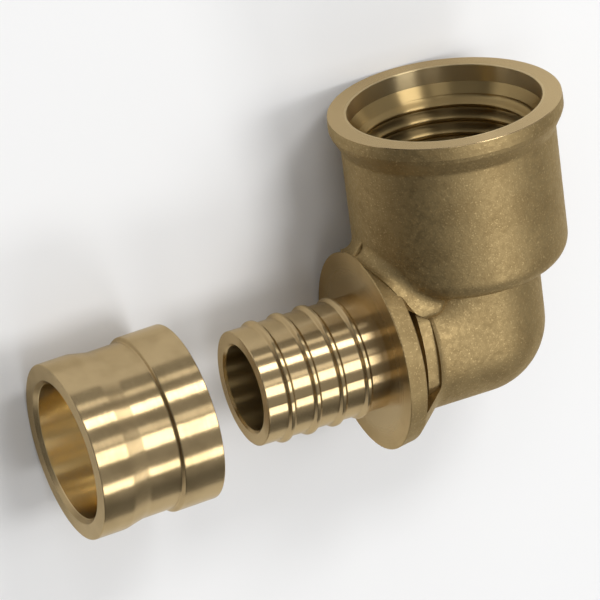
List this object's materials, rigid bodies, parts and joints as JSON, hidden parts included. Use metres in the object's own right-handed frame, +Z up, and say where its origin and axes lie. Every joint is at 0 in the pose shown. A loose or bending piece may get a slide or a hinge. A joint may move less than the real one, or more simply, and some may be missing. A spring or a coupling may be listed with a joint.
{
  "type": "pex elbow",
  "caption": "Right-angle brass elbow from a ringed push-on spigot with a flange to a female pipe thread, with its loose sliding sleeve shown off the spigot.",
  "frame": {"origin": "on the ground under the middle of the whole box of elbow and sleeve", "axes": "-X out of the spigot, +Y out of the threaded socket, which leans up by 3.7 degrees, +Z up; the elbow lies on its side, on its bead and its flange"},
  "size_m": [0.0654, 0.0402, 0.0272],
  "materials": {
    "forged_brass": "blasted forging with a fine grain, machined at the rim, thread, flange front and spigot",
    "turned_brass": "turned, with fine rings and a soft shine"
  },
  "bodies": {
    "root": {"elbow_body": "forged_brass", "sliding_sleeve": "turned_brass"}
  },
  "joints": []
}
